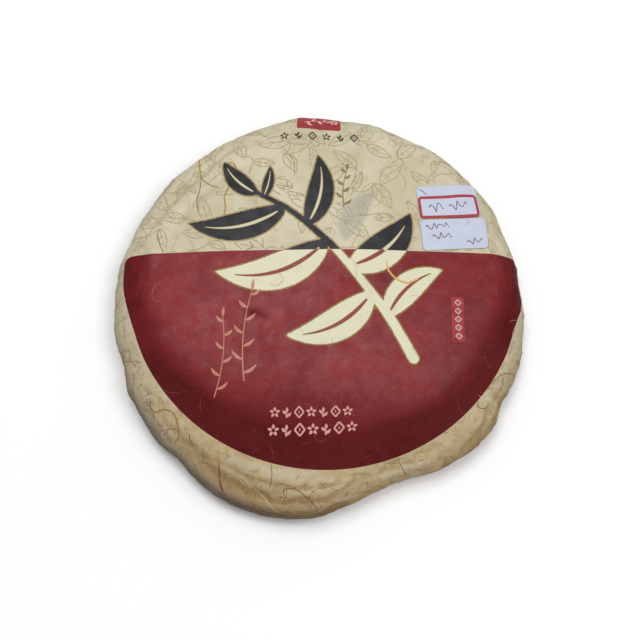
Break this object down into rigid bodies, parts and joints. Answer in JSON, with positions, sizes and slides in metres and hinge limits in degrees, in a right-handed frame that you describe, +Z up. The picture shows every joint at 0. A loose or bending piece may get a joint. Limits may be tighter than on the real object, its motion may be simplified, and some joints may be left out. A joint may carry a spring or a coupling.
{
  "type": "paper-wrapped pu erh tea cake",
  "caption": "Flat round tea cake shut in thin printed paper, pleated and twisted closed underneath, with small stick-on labels on its face.",
  "frame": {"origin": "centre of the plan outline, on the surface that the cake lies on", "axes": "+Z up out of the printed face, +Y towards the far edge of the face, +X to its right"},
  "size_m": [0.1872, 0.1896, 0.0272],
  "materials": {
    "wrapping_paper": "thin fibrous tissue paper, cream with a dark red printed field, faint sheen on the print",
    "label_paper": "smooth white label paper, matt"
  },
  "bodies": {
    "root": {"wrapped_cake": "wrapping_paper", "upper_label": "label_paper", "lower_label": "label_paper"}
  },
  "joints": []
}
